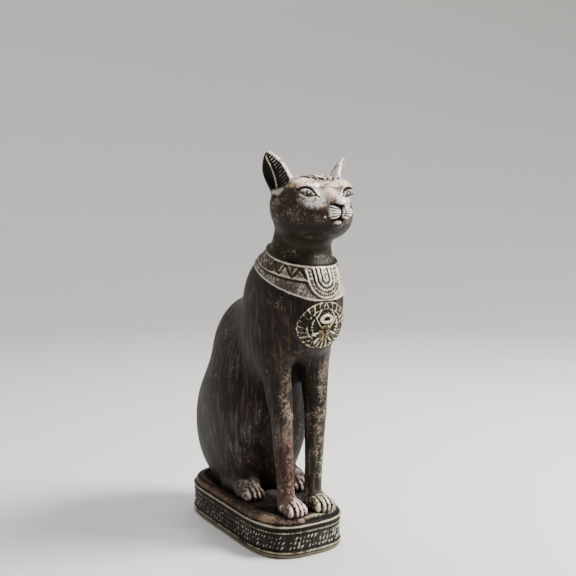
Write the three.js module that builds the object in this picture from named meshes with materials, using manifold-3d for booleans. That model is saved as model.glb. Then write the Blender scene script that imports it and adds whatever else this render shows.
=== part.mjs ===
// A seated cat figure on a low plinth, cast in one piece.
// Millimetres, +Z up. The origin is the middle of the plinth's underside.
// The cat looks along -Y, so +X is its left side and -X its right side, where the tail lies.

import * as THREE from 'three';
import Module from 'manifold-3d';

// Plinth
const plinthLength = 132;
const plinthWidth = 66;
const plinthStraight = 42; // straight stretch of each long side
const squareness = 3; // power of the superellipse that rounds each end
const footHeight = 3.3; // top of the lower ridge
const friezeTop = 15.6;
const frameHeight = 17.4; // thin frame line above the frieze
const ledgeHeight = 20.6; // upper ridge, where the slab begins
const slabTop = 25.5;
const ridgeProud = 1.1; // how far the ridges stand out of the frieze
const slabInset = 3; // from the plinth's outline to the slab's edge
const slabRound = 1.6;

// Tail, lying on the ledge along the cat's right side
const tailWidth = 8.6;
const tailThickness = 7.4;
const tailInset = 1.6; // from the plinth's outline to the tail's outer side
const tailSunk = 0.42; // share of its thickness from the slab's top down to its middle
const tailEnd = -5; // where its tip lies at the front, across the plinth
const tailStart = 6; // where it leaves the rump at the back

// Cat
const catHeight = 226; // from the slab to the tips of the ears
const earHeight = 30.5;
const leftEarHeight = 28.2; // the left ear is the shorter
const earWidth = 18.2;
const soleDepth = 2; // how far the soles run into the slab
const collarFront = 158; // height of the collar's upper edge at the chest, above the slab
const collarDepth = 21.2; // down its front
const collarSlope = 0.17; // rise of the upper edge towards the back, which steepens by collarBend
const collarBend = 0.0027;
const capeSlope = 0.34; // rise of the lower edge
const bandShare = 0.46; // of the collar's depth that its upper band takes in front
const bandGrowth = 0.0055; // and how much more of it towards the back
const collarProud = 1.3;
const chestFront = -73; // where the collar meets the cat's middle line in front
const pendantRadius = 11.7;
const pendantCentre = 150.2;
const pendantProud = 1;
const medallionRadius = 14.8;
const medallionCentre = 122.2;
const medallionBreadth = 1.15; // its width over its height
const medallionProud = 1.5;

// Fineness of the faceted surface
const gridStep = 1.8;
const catFaces = 8000; // before the cat is joined to its plinth
const allFaces = 9700;
const endSteps = 15; // facets of each quarter of the plinth's rounded ends
const tailSteps = 56;
const tailSides = 10;

// The cat's forms are drawn for a plinth 66 mm wide and 132 mm long and a height of 226 mm,
// and stretched to the sizes above
const stretch = [plinthWidth / 66, plinthLength / 132, catHeight / 226];

// Distance fields. Each takes a point and returns how far it lies outside the form.

function lump(p, c, r, power) {
  // an ellipsoid whose plan is squared off by power, where 2 is round
  const x = Math.abs(p[0] - c[0]) / r[0];
  const y = Math.abs(p[1] - c[1]) / r[1];
  const z = (p[2] - c[2]) / r[2];
  const plan = power === 2 ? Math.sqrt(x * x + y * y) : (x ** power + y ** power) ** (1 / power);
  const k = Math.sqrt(plan * plan + z * z);
  const g = Math.sqrt((x / r[0]) ** 2 + (y / r[1]) ** 2 + (z / r[2]) ** 2);
  return g < 1e-9 ? -Math.min(r[0], r[1], r[2]) : (k * (k - 1)) / g;
}

function round(p, c, r) {
  return lump(p, c, r, 2);
}

function taper(p, a, b, ra, rb) {
  // a round-ended cone from a to b
  const bx = b[0] - a[0];
  const by = b[1] - a[1];
  const bz = b[2] - a[2];
  const px = p[0] - a[0];
  const py = p[1] - a[1];
  const pz = p[2] - a[2];
  const t = (px * bx + py * by + pz * bz) / (bx * bx + by * by + bz * bz);
  const s = Math.min(1, Math.max(0, t));
  const d = Math.sqrt((px - s * bx) ** 2 + (py - s * by) ** 2 + (pz - s * bz) ** 2);
  return d - (ra + s * (rb - ra));
}

function blend(a, b, k) {
  // union with a fillet of about k
  const h = Math.max(k - Math.abs(a - b), 0) / k;
  return Math.min(a, b) - (h * h * k) / 4;
}

function carve(a, b, k) {
  // a with b taken away, the edge rounded by k
  return -blend(-a, b, k);
}

function step(low, high, v) {
  const t = Math.min(1, Math.max(0, (v - low) / (high - low)));
  return t * t * (3 - 2 * t);
}

// Trunk, from the neck down to the rump

function trunk(p, q) {
  let d = lump(p, [0, 9, 86], [26, 40, 48], 2.4);
  d = blend(d, lump(p, [0, -36, 127], [24.5, 39.5, 33], 2.6), 14);
  d = blend(d, lump(p, [0, -40, 146], [22, 34.5, 24], 2.4), 12);
  d = blend(d, lump(p, [0, 22, 34], [25.5, 42, 46], 2.8), 22);
  d = blend(d, lump(q, [16, 21, 43], [14.2, 38, 42], 2.4), 7);
  d = blend(d, round(q, [16, 8, 62], [14.2, 31, 38]), 9);
  return d;
}

function shoulder(p, q) {
  return round(q, [15, -32, 108], [10.5, 21, 28]);
}

function foreleg(p, q) {
  let d = taper(q, [15, -42, 104], [13, -45.5, 62], 9.5, 7.2);
  d = blend(d, taper(q, [15, -34, 106], [14, -41, 72], 9, 6), 4);
  d = blend(d, taper(q, [13, -45.5, 62], [10.9, -46.5, 22], 7.2, 5.6), 1);
  return blend(d, taper(q, [10.9, -46.5, 22], [10.3, -46.5, 8], 5.6, 5.8), 1);
}

function paw(q, x, front, reach) {
  // a rounded foot with four toes
  const toe = 2.1;
  let d = round(q, [x, front + reach, 3.4], [7.7, reach, 6.4]);
  for (const side of [-1.5, -0.5, 0.5, 1.5]) {
    const back = 1.1 * Math.abs(side);
    d = blend(d, round(q, [x + side * 3.5, front + 3.2 + back, 2.8], [toe, 4.4, 3.8]), 1.2);
  }
  return d;
}

function feet(p, q) {
  const fore = paw(q, 10.3, -63.5, 10.5);
  const heel = taper(q, [18.6, 14, 3.5], [18.3, -10, 7], 6.2, 7.6);
  const hind = blend(paw(q, 18.3, -24, 11), heel, 4);
  return Math.min(fore, hind);
}

// Head

function skull(p, q) {
  let d = round(p, [0, -58, 195], [25, 24.5, 18.9]);
  d = blend(d, round(q, [12.4, -62.5, 188], [11.8, 16.5, 12.2]), 6);
  d = blend(d, round(p, [0, -69, 182.6], [14.4, 15.5, 9]), 8);
  d = blend(d, round(p, [0, -77, 190], [12.5, 11.5, 9]), 7);
  d = blend(d, taper(p, [0, -73, 203.5], [0, -88, 195.8], 5.5, 3.3), 4);
  d = blend(d, round(q, [12.5, -69.5, 205.5], [9.5, 8.5, 6]), 4);
  d = blend(d, lump(q, [4.2, -88, 190.7], [4.3, 6, 4.2], 2.6), 1);
  d = blend(d, round(p, [0, -85, 184.6], [5, 5.8, 3]), 2);
  d = blend(d, round(p, [0, -92, 196.2], [3.1, 2.5, 2.2]), 0.8);
  return d;
}

function neck(p) {
  return taper(p, [0, -52, 184], [0, -45, 156], 17, 20.5);
}

const earRoot = [16.8, -56.5, 199];
const earUp = new THREE.Vector3(11.2, 2.2, 28).normalize();
const earAcross = new THREE.Vector3().crossVectors(earUp, new THREE.Vector3(0.795, -0.607, 0)).normalize();
const earFacing = new THREE.Vector3().crossVectors(earAcross, earUp);

function ear(q, height) {
  const v = new THREE.Vector3(...q).sub(new THREE.Vector3(...earRoot));
  const across = v.dot(earAcross);
  const facing = v.dot(earFacing);
  const up = v.dot(earUp);
  const share = Math.min(1, Math.max(0, up / height));
  const root = across > 0 ? 1 - 0.3 * (1 - step(0.2, 0.75, share)) : 1;
  const half = (earWidth / 2) * (1 - share ** 3) ** 0.8 * root + 0.6;
  const deep = 7.3 * (1 - share) + 1.3;
  const side = (Math.hypot(across / half, facing / deep) - 1) * Math.min(half, deep);
  const body = Math.max(side, up - height, -4 - up);
  const hollow = round([across, facing, up], [0, 6.8, 18.6], [7.8, 7, 11.4]);
  return carve(body, hollow, 1);
}

function eye(q) {
  return round(q, [14.6, -75.1, 202.4], [5.8, 3.6, 3]);
}

// Ornament

// How far down the collar a point lies: 0 at its upper edge, 1 at its lower edge
function collarShare(p) {
  const back = p[1] - chestFront;
  const upper = collarFront + collarSlope * back + collarBend * back * Math.abs(back);
  const drop = collarFront - collarDepth + 1.2 * step(-4.4, 2.6, back);
  const lower = drop + capeSlope * (back + 4.4);
  return (upper - p[2]) / (upper - lower);
}

function collar(p) {
  const s = collarShare(p);
  const edge = bandShare + bandGrowth * (p[1] - chestFront);
  const band = step(-0.03, 0.03, s) - step(edge - 0.03, edge + 0.03, s);
  const cape = step(edge - 0.03, edge + 0.03, s) - step(0.96, 1.02, s);
  return collarProud * (band + 0.45 * cape);
}

function pendant(p) {
  const across = Math.abs(p[0]);
  if (p[1] > -50 || p[2] > collarFront) return 0;
  const below = Math.min(0, p[2] - pendantCentre);
  return pendantProud * (1 - step(pendantRadius - 0.8, pendantRadius + 0.8, Math.hypot(across, below)));
}

// A winged scarab: two wings curved up into a ring, and the beetle between them
function medallion(p) {
  if (p[1] > -50) return 0;
  const size = medallionRadius / 16;
  const x = p[0] / (medallionBreadth * size);
  const z = (p[2] - medallionCentre) / size;
  const r = Math.hypot(x, z);
  const ring = step(7, 8.6, r) - step(15, 16.4, r);
  const beetle = 1 - step(0.85, 1.15, Math.hypot(x / 4.6, (z + 4.5) / 6.5));
  const sun = 1 - step(0.85, 1.15, Math.hypot(x / 4.8, (z - 4.6) / 3.6));
  const tail = 1 - step(0.85, 1.15, Math.hypot(x / 6, (z + 11.5) / 4));
  return medallionProud * Math.max(ring, 1.4 * beetle, 1.5 * sun, tail);
}

function cat(p) {
  const q = [Math.abs(p[0]), p[1], p[2]];
  let d = trunk(p, q);
  d = blend(d, shoulder(p, q), 8);
  d = blend(d, neck(p), 9);
  d -= Math.max(collar(p) + pendant(p), medallion(p));
  d = blend(d, foreleg(p, q), 4);
  d = blend(d, feet(p, q), 3);
  d = blend(d, skull(p, q), 6);
  d = blend(d, ear(q, p[0] > 0 ? leftEarHeight : earHeight), 2.5);
  d = blend(d, eye(q), 0.8);
  return Math.max(d, -soleDepth - p[2]);
}

// Samples a field on a grid, passing over the blocks that lie well away from its surface
function sample(field, low, n, size) {
  const block = 4;
  const value = new Float32Array(n[0] * n[1] * n[2]);
  const far = block * size * 1.6;
  for (let k0 = 0; k0 < n[2]; k0 += block) {
    for (let j0 = 0; j0 < n[1]; j0 += block) {
      for (let i0 = 0; i0 < n[0]; i0 += block) {
        const middle = [i0, j0, k0].map((v, x) => low[x] + (v + block / 2) * size);
        const whole = field(middle);
        for (let k = k0; k < Math.min(k0 + block, n[2]); k++) {
          for (let j = j0; j < Math.min(j0 + block, n[1]); j++) {
            for (let i = i0; i < Math.min(i0 + block, n[0]); i++) {
              const point = [low[0] + i * size, low[1] + j * size, low[2] + k * size];
              value[(k * n[1] + j) * n[0] + i] = Math.abs(whole) > far ? whole : field(point);
            }
          }
        }
      }
    }
  }
  return value;
}

// Fills in the places where solid corners meet only across a diagonal, so that no edge joins four faces
function fillDiagonals(value, stride, count, skin) {
  for (let found = true; found; ) {
    found = false;
    for (let here = 0; here + stride[1] + stride[2] + 1 < count; here++) {
      for (let axis = 0; axis < 3; axis++) {
        const b = here + stride[axis];
        const c = here + stride[(axis + 1) % 3];
        const d = b + stride[(axis + 1) % 3];
        const solid = value[here] < 0;
        if (value[d] < 0 !== solid || value[b] < 0 === solid || value[c] < 0 === solid) continue;
        for (const corner of solid ? [b, c] : [here, d]) value[corner] = -skin;
        found = true;
      }
    }
  }
}

// Closed surface of a field, with one vertex to each cell that it crosses
function surface(field, low, high, size) {
  const n = low.map((v, x) => Math.ceil((high[x] - v) / size) + 1);
  const value = sample(field, low, n, size);
  const stride = [1, n[0], n[0] * n[1]];
  fillDiagonals(value, stride, value.length, size * 0.05);
  const cell = new Int32Array(value.length).fill(-1);
  const points = [];
  for (let k = 0; k < n[2] - 1; k++) {
    for (let j = 0; j < n[1] - 1; j++) {
      for (let i = 0; i < n[0] - 1; i++) {
        const here = (k * n[1] + j) * n[0] + i;
        const sum = [0, 0, 0];
        let count = 0;
        for (let axis = 0; axis < 3; axis++) {
          const b = (axis + 1) % 3;
          const c = (axis + 2) % 3;
          for (let side = 0; side < 4; side++) {
            const ob = side & 1;
            const oc = side >> 1;
            const from = here + ob * stride[b] + oc * stride[c];
            const v0 = value[from];
            const v1 = value[from + stride[axis]];
            if (v0 < 0 === v1 < 0) continue;
            sum[axis] += v0 / (v0 - v1);
            sum[b] += ob;
            sum[c] += oc;
            count++;
          }
        }
        if (!count) continue;
        cell[here] = points.length;
        points.push([i, j, k].map((g, x) => low[x] + (g + sum[x] / count) * size));
      }
    }
  }
  const faces = [];
  for (let k = 1; k < n[2] - 1; k++) {
    for (let j = 1; j < n[1] - 1; j++) {
      for (let i = 1; i < n[0] - 1; i++) {
        const here = (k * n[1] + j) * n[0] + i;
        const inside = value[here] < 0;
        for (let axis = 0; axis < 3; axis++) {
          if (inside === value[here + stride[axis]] < 0) continue;
          const b = stride[(axis + 1) % 3];
          const c = stride[(axis + 2) % 3];
          const ring = [cell[here - b - c], cell[here - c], cell[here], cell[here - b]];
          if (!inside) ring.reverse();
          faces.push([ring[0], ring[1], ring[2]], [ring[0], ring[2], ring[3]]);
        }
      }
    }
  }
  return { points, faces };
}

// Merges short edges, cheapest first, until the surface has the wanted number of faces.
// The cost of a merge is how far the new vertex would lie from the planes of the old faces.
function simplify(mesh, wanted) {
  const points = mesh.points.map((v) => v.slice());
  const faces = mesh.faces.map((v) => v.slice());
  const alive = new Uint8Array(faces.length).fill(1);
  const around = points.map(() => new Set());
  const planes = points.map(() => new Float64Array(10));
  const plane = (f) => {
    const [a, b, c] = f.map((v) => points[v]);
    const u = [b[0] - a[0], b[1] - a[1], b[2] - a[2]];
    const w = [c[0] - a[0], c[1] - a[1], c[2] - a[2]];
    const n = [u[1] * w[2] - u[2] * w[1], u[2] * w[0] - u[0] * w[2], u[0] * w[1] - u[1] * w[0]];
    const area = Math.sqrt(n[0] ** 2 + n[1] ** 2 + n[2] ** 2);
    const unit = n.map((v) => v / (area || 1));
    return [...unit, -(unit[0] * a[0] + unit[1] * a[1] + unit[2] * a[2]), area];
  };
  faces.forEach((f, i) => {
    const [a, b, c, d, area] = plane(f);
    const terms = [a * a, a * b, a * c, a * d, b * b, b * c, b * d, c * c, c * d, d * d];
    for (const v of f) {
      around[v].add(i);
      terms.forEach((t, x) => {
        planes[v][x] += t * area;
      });
    }
  });
  const error = (m, [x, y, z]) =>
    m[0] * x * x + 2 * m[1] * x * y + 2 * m[2] * x * z + 2 * m[3] * x + m[4] * y * y +
    2 * m[5] * y * z + 2 * m[6] * y + m[7] * z * z + 2 * m[8] * z + m[9];
  const best = (m, a, b) => {
    // the point with the least error, or the better of the two ends and their middle
    const [xx, xy, xz, xd, yy, yz, yd, zz, zd] = m;
    const det = xx * (yy * zz - yz * yz) - xy * (xy * zz - yz * xz) + xz * (xy * yz - yy * xz);
    const middle = [(a[0] + b[0]) / 2, (a[1] + b[1]) / 2, (a[2] + b[2]) / 2];
    if (Math.abs(det) > 1e-4 * (xx + yy + zz) ** 3) {
      const x = -(xd * (yy * zz - yz * yz) - xy * (yd * zz - yz * zd) + xz * (yd * yz - yy * zd)) / det;
      const y = -(xx * (yd * zz - yz * zd) - xd * (xy * zz - yz * xz) + xz * (xy * zd - yd * xz)) / det;
      const z = -(xx * (yy * zd - yz * yd) - xy * (xy * zd - yd * xz) + xd * (xy * yz - yy * xz)) / det;
      const apart = Math.hypot(x - middle[0], y - middle[1], z - middle[2]);
      const span = Math.hypot(a[0] - b[0], a[1] - b[1], a[2] - b[2]);
      if (apart < 2 * span) return [x, y, z];
    }
    return [a, b, middle].reduce((u, v) => (error(m, v) < error(m, u) ? v : u));
  };
  const heap = [];
  const swap = (i, j) => {
    const t = heap[i];
    heap[i] = heap[j];
    heap[j] = t;
  };
  const push = (item) => {
    heap.push(item);
    let i = heap.length - 1;
    while (i && heap[(i - 1) >> 1].cost > heap[i].cost) {
      swap(i, (i - 1) >> 1);
      i = (i - 1) >> 1;
    }
  };
  const pop = () => {
    const top = heap[0];
    const last = heap.pop();
    if (heap.length) {
      heap[0] = last;
      for (let i = 0; ;) {
        let least = i;
        for (const child of [2 * i + 1, 2 * i + 2]) {
          if (child < heap.length && heap[child].cost < heap[least].cost) least = child;
        }
        if (least === i) break;
        swap(i, least);
        i = least;
      }
    }
    return top;
  };
  const stamp = new Int32Array(points.length);
  const offer = (a, b) => {
    const m = planes[a].map((v, x) => v + planes[b][x]);
    const at = best(m, points[a], points[b]);
    push({ a, b, at, m, cost: Math.max(error(m, at), 0), sa: stamp[a], sb: stamp[b] });
  };
  const neighbours = (v) => {
    const ring = new Set();
    for (const f of around[v]) for (const w of faces[f]) if (w !== v) ring.add(w);
    return ring;
  };
  faces.forEach((f) => {
    for (let x = 0; x < 3; x++) if (f[x] < f[(x + 1) % 3]) offer(f[x], f[(x + 1) % 3]);
  });
  const turns = (v, other, at) => {
    for (const f of around[v]) {
      if (faces[f].includes(other)) continue;
      const before = plane(faces[f]);
      const old = points[v];
      points[v] = at;
      const after = plane(faces[f]);
      points[v] = old;
      const same = before[0] * after[0] + before[1] * after[1] + before[2] * after[2];
      if (same < 0.25 || after[4] < 1e-3) return true;
    }
    return false;
  };
  let left = faces.length;
  while (left > wanted && heap.length) {
    const { a, b, at, m, sa, sb } = pop();
    if (stamp[a] !== sa || stamp[b] !== sb) continue;
    const ringB = neighbours(b);
    let shared = 0;
    for (const v of neighbours(a)) if (ringB.has(v)) shared++;
    if (shared !== 2 || turns(a, b, at) || turns(b, a, at)) continue;
    points[a] = at;
    planes[a] = m;
    for (const f of around[b]) {
      if (faces[f].includes(a)) {
        alive[f] = 0;
        left--;
        for (const v of faces[f]) if (v !== b) around[v].delete(f);
      } else {
        faces[f][faces[f].indexOf(b)] = a;
        around[a].add(f);
      }
    }
    around[b].clear();
    stamp[a]++;
    stamp[b] = -1;
    for (const v of neighbours(a)) offer(Math.min(a, v), Math.max(a, v));
  }
  const kept = new Map();
  const out = { points: [], faces: [] };
  faces.forEach((f, i) => {
    if (!alive[i]) return;
    out.faces.push(f.map((v) => {
      if (!kept.has(v)) {
        kept.set(v, out.points.length);
        out.points.push(points[v]);
      }
      return kept.get(v);
    }));
  });
  return out;
}

// Plinth

// The plinth's outline drawn in by inset, as a ring of points that runs anticlockwise
function outline(inset) {
  const half = plinthWidth / 2 - inset;
  const end = (plinthLength - plinthStraight) / 2 - inset;
  const ring = [];
  for (let i = 0; i < 4 * endSteps; i++) {
    const t = ((i + 0.5) / (4 * endSteps)) * 2 * Math.PI;
    const c = Math.cos(t);
    const s = Math.sin(t);
    const x = Math.sign(c) * half * Math.abs(c) ** (2 / squareness);
    const y = Math.sign(s) * (end * Math.abs(s) ** (2 / squareness) + plinthStraight / 2);
    ring.push([x, y]);
  }
  return ring;
}

// A closed solid skinned over rings of points that all have the same count
function skin(rings) {
  const n = rings[0].length;
  const points = rings.flat();
  const faces = [];
  for (let k = 0; k < rings.length - 1; k++) {
    for (let i = 0; i < n; i++) {
      const a = k * n + i;
      const b = k * n + ((i + 1) % n);
      faces.push([a, b, b + n], [a, b + n, a + n]);
    }
  }
  const cap = (first, flip) => {
    const middle = [0, 0, 0];
    for (const v of rings[first]) for (let x = 0; x < 3; x++) middle[x] += v[x] / n;
    points.push(middle);
    const hub = points.length - 1;
    for (let i = 0; i < n; i++) {
      const a = first * n + i;
      const b = first * n + ((i + 1) % n);
      faces.push(flip ? [hub, b, a] : [hub, a, b]);
    }
  };
  cap(0, true);
  cap(rings.length - 1, false);
  return { points, faces };
}

function plinth() {
  const proud = ridgeProud;
  const levels = [
    [0, 0],
    [proud * 0.5, footHeight - 1.2],
    [0.2, footHeight - 0.7],
    [0.2, footHeight + 0.2],
    [proud + 0.4, footHeight + 1],
    [proud + 0.4, friezeTop],
    [0.4, friezeTop + 0.7],
    [0.4, frameHeight],
    [proud, frameHeight + 0.6],
    [proud, ledgeHeight - 1.4],
    [0.6, ledgeHeight - 0.8],
    [0.6, ledgeHeight],
    [slabInset, ledgeHeight + 0.6],
    [slabInset, slabTop - slabRound],
    [slabInset + slabRound * 0.3, slabTop - slabRound * 0.3],
    [slabInset + slabRound, slabTop],
  ];
  return skin(levels.map(([inset, z]) => outline(inset).map(([x, y]) => [x, y, z])));
}

// The tail's course, from the rump round the right side to the front
function tailCourse() {
  const ring = outline(tailInset + tailWidth / 2);
  const n = ring.length;
  const start = ring.findIndex(([x, y]) => y > 0 && x < tailStart);
  const course = [];
  for (let i = start; ; i++) {
    const [x, y] = ring[i % n];
    course.push([x, y]);
    if (y < 0 && x > tailEnd) break;
  }
  return course;
}

function tail() {
  const course = tailCourse();
  const height = slabTop - tailThickness * tailSunk;
  const length = course.length - 1;
  const rings = [];
  for (let i = 0; i <= tailSteps; i++) {
    const share = i / tailSteps;
    const at = share * length;
    const from = Math.min(length - 1, Math.floor(at));
    const part = at - from;
    const [ax, ay] = course[from];
    const [bx, by] = course[from + 1];
    const x = ax + part * (bx - ax);
    const y = ay + part * (by - ay);
    const run = Math.hypot(bx - ax, by - ay);
    const inward = [-(by - ay) / run, (bx - ax) / run];
    const round = Math.sqrt(Math.min(1, (share + 0.004) * 30, (1.004 - share) * 22));
    const ring = [];
    for (let s = 0; s < tailSides; s++) {
      const t = (s / tailSides) * 2 * Math.PI;
      const side = (Math.cos(t) * tailWidth * round) / 2;
      const lift = (Math.sin(t) * tailThickness * round) / 2;
      ring.push([x + inward[0] * side, y + inward[1] * side, height + lift]);
    }
    rings.push(ring);
  }
  return skin(rings);
}

// Booleans and the finished mesh

const wasm = await Module();
wasm.setup();

function solid({ points, faces }) {
  const mesh = new wasm.Mesh({
    numProp: 3,
    vertProperties: new Float32Array(points.flat()),
    triVerts: new Uint32Array(faces.flat()),
  });
  return new wasm.Manifold(mesh);
}

// The joined body as a mesh again, with the slivers along its joins merged away
function geometry(body) {
  const mesh = body.getMesh();
  const points = [];
  const faces = [];
  for (let i = 0; i < mesh.vertProperties.length; i += 3) {
    points.push([...mesh.vertProperties.slice(i, i + 3)]);
  }
  for (let i = 0; i < mesh.triVerts.length; i += 3) {
    faces.push([...mesh.triVerts.slice(i, i + 3)]);
  }
  const lean = simplify({ points, faces }, allFaces);
  const out = new THREE.BufferGeometry();
  out.setAttribute('position', new THREE.BufferAttribute(new Float32Array(lean.points.flat()), 3));
  out.setIndex(lean.faces.flat());
  out.computeVertexNormals();
  return out;
}

function catBody() {
  const raw = surface(cat, [-38, -99, -soleDepth - 3], [38, 72, earRoot[2] + earHeight + 2], gridStep);
  const lean = simplify(raw, catFaces);
  const placed = lean.points.map((v) => v.map((c, axis) => c * stretch[axis] + (axis === 2 ? slabTop : 0)));
  return { points: placed, faces: lean.faces };
}

const resin = new THREE.MeshStandardMaterial({ color: 0x4a423c, roughness: 0.55, metalness: 0.25 });
const figure = new THREE.Mesh(
  geometry(solid(catBody()).add(solid(plinth())).add(solid(tail()))),
  resin,
);
figure.name = 'cat_figure';

const group = new THREE.Group();
group.add(figure);

export default group;
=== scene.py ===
import math

import bpy
import numpy as np
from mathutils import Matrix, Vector


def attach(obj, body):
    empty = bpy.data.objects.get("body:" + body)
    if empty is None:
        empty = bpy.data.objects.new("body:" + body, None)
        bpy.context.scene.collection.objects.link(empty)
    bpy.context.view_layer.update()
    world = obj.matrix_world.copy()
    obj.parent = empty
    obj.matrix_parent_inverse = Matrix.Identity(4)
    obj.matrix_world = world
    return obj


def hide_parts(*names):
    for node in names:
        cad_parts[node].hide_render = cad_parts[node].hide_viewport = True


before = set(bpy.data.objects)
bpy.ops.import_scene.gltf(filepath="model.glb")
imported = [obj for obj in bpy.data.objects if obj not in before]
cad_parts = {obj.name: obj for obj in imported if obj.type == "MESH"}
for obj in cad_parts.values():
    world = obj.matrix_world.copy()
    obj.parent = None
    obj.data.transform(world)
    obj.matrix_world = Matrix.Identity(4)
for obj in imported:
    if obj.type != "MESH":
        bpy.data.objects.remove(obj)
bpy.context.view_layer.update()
mm = 0.001

# Sizes shared by the cat, the plinth and the finish
plinth = {
    "length": 132,
    "width": 66,
    "straight": 42,  # straight stretch of each long side
    "power": 3,  # of the superellipse that rounds each end
    "slabTop": 25.5,
    "frieze": (4.4, 15.4),  # from and to this height
    "columns": 480,
    "rowStep": 0.74,  # between the rings of points on the sides, and on the slab's top
    "topStep": 3.5,
    "seam": -11,  # the mould seam at the front: where it runs across the plinth
    "seamRise": 0.4,
    "seamHalf": 0.6,  # its half width
    "seamTop": 21,
}
slabTop = plinth["slabTop"]


# Fields: how far a point lies outside a form

def smooth(low, high, v):
    t = np.clip((v - low) / (high - low), 0, 1)
    return t * t * (3 - 2 * t)


def hump(v, width):
    # 1 at v = 0, falling to 0 at width on either side
    return 1 - smooth(0, width, np.abs(v))


def lump(x, y, z, c, r, power=2):
    # an ellipsoid whose plan is squared off by power
    u = np.abs(x - c[0]) / r[0]
    v = np.abs(y - c[1]) / r[1]
    w = (z - c[2]) / r[2]
    plan = np.hypot(u, v) if power == 2 else (u ** power + v ** power) ** (1 / power)
    k = np.hypot(plan, w)
    g = np.sqrt((u / r[0]) ** 2 + (v / r[1]) ** 2 + (w / r[2]) ** 2)
    return np.where(g < 1e-6, -min(r), k * (k - 1) / np.maximum(g, 1e-6))


def dot(v, a):
    return v[0] * a[0] + v[1] * a[1] + v[2] * a[2]


def taper(x, y, z, a, b, ra, rb):
    # a round-ended cone from a to b
    bx, by, bz = b[0] - a[0], b[1] - a[1], b[2] - a[2]
    px, py, pz = x - a[0], y - a[1], z - a[2]
    t = np.clip((px * bx + py * by + pz * bz) / (bx * bx + by * by + bz * bz), 0, 1)
    away = np.sqrt((px - t * bx) ** 2 + (py - t * by) ** 2 + (pz - t * bz) ** 2)
    return away - (ra + t * (rb - ra))


def blend(a, b, k):
    h = np.maximum(k - np.abs(a - b), 0) / k
    return np.minimum(a, b) - h * h * k / 4


def carve(a, b, k):
    return -blend(-a, b, k)


# The cat's body

# Each lump: its middle, radii and the power that squares off its plan. Each cone: from, to and
# the radius at each of the two. Last comes the width of the blend with what came before.

def grown(x, y, z, forms):
    # the forms blended on one after another; those off the middle come in pairs
    q = np.abs(x)
    d = None
    for *form, join in forms.values():
        make = lump if len(form) == 3 else taper
        one = make(q if form[0][0] else x, y, z, *form)
        d = one if d is None else blend(d, one, join)
    return d


torso = {
    "belly": ((0, 9, 86), (26, 40, 48), 2.4, 0),
    "chest": ((0, -36, 127), (24.5, 39.5, 33), 2.6, 14),
    "shoulders": ((0, -40, 146), (22, 34.5, 24), 2.4, 12),
    "rump": ((0, 22, 34), (25.5, 42, 46), 2.8, 22),
    "haunch": ((16, 21, 43), (14.2, 38, 42), 2.4, 7),
    "thigh": ((16, 8, 62), (14.2, 31, 38), 2, 9),
    "upperArm": ((15, -32, 108), (10.5, 21, 28), 2, 8),
    "neck": ((0, -52, 184), (0, -45, 156), 17, 20.5, 9),
}
foreleg = {
    "upper": ((15, -42, 104), (13, -45.5, 62), 9.5, 7.2, 0),
    "elbow": ((15, -34, 106), (14, -41, 72), 9, 6, 4),
    "lower": ((13, -45.5, 62), (10.9, -46.5, 22), 7.2, 5.6, 1),
    "wrist": ((10.9, -46.5, 22), (10.3, -46.5, 8), 5.6, 5.8, 1),
}
skull = {
    "crown": ((0, -58, 195), (25, 24.5, 18.9), 2, 0),
    "cheek": ((12.4, -62.5, 188), (11.8, 16.5, 12.2), 2, 6),
    "jaw": ((0, -69, 182.6), (14.4, 15.5, 9), 2, 8),
    "muzzle": ((0, -77, 190), (12.5, 11.5, 9), 2, 7),
    "bridge": ((0, -73, 203.5), (0, -88, 195.8), 5.5, 3.3, 4),
    "brow": ((12.5, -69.5, 205.5), (9.5, 8.5, 6), 2, 4),
    "pad": ((4.2, -88, 190.7), (4.3, 6, 4.2), 2.6, 1),
    "chin": ((0, -85, 184.6), (5, 5.8, 3), 2, 2),
    "nose": ((0, -92, 196.2), (3.1, 2.5, 2.2), 2, 0.8),
}
paws = {
    "fore": (10.3, -63.5, 10.5),  # how far across, where the front is, half the length
    "hind": (18.3, -24, 11),
    "middle": 3.4,  # height of the middle
    "half": 7.7,  # half the breadth and half the thickness
    "thick": 6.4,
    "heel": ((18.6, 14, 3.5), (18.3, -10, 7), 6.2, 7.6),
    "heelJoin": 4,
}
toes = {
    "places": (-1.5, -0.5, 0.5, 1.5),
    "gap": 3.5,
    "back": 3.2,  # from the paw's front, and further for the outer toes
    "fall": 1.1,
    "height": 2.8,
    "radii": (2.1, 4.4, 3.8),
    "join": 1.2,
}


def paw(q, y, z, across, front, reach):
    middle = (across, front + reach, paws["middle"])
    d = lump(q, y, z, middle, (paws["half"], reach, paws["thick"]))
    for side in toes["places"]:
        tip = front + toes["back"] + toes["fall"] * abs(side)
        toe = lump(q, y, z, (across + side * toes["gap"], tip, toes["height"]), toes["radii"])
        d = blend(d, toe, toes["join"])
    return d


def feet(q, y, z):
    hind = blend(paw(q, y, z, *paws["hind"]), taper(q, y, z, *paws["heel"]), paws["heelJoin"])
    return np.minimum(paw(q, y, z, *paws["fore"]), hind)


ear = {
    "root": (16.8, -56.5, 199),
    "lean": (11.2, 2.2, 28),
    "front": (0.795, -0.607, 0),
    "height": 30.5,
    "leftHeight": 28.2,  # the left ear is the shorter
    "width": 18.2,
    "blunt": 0.6,  # half the width that is left at the tip
    "pinch": 0.3,  # share that the outer edge is drawn in near the root
    "deep": 7.3,  # half the depth at the root, beyond what is left at the tip
    "rim": 1.3,
    "sunk": 4,  # into the skull
    "hollow": ((0, 6.8, 18.6), (7.8, 7, 11.4)),
    "edge": 1,  # width of the round along the hollow's edge
}


def earAxes():
    up = np.array(ear["lean"]) / np.linalg.norm(ear["lean"])
    across = np.cross(up, ear["front"])
    across /= np.linalg.norm(across)
    return across, np.cross(across, up), up


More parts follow.
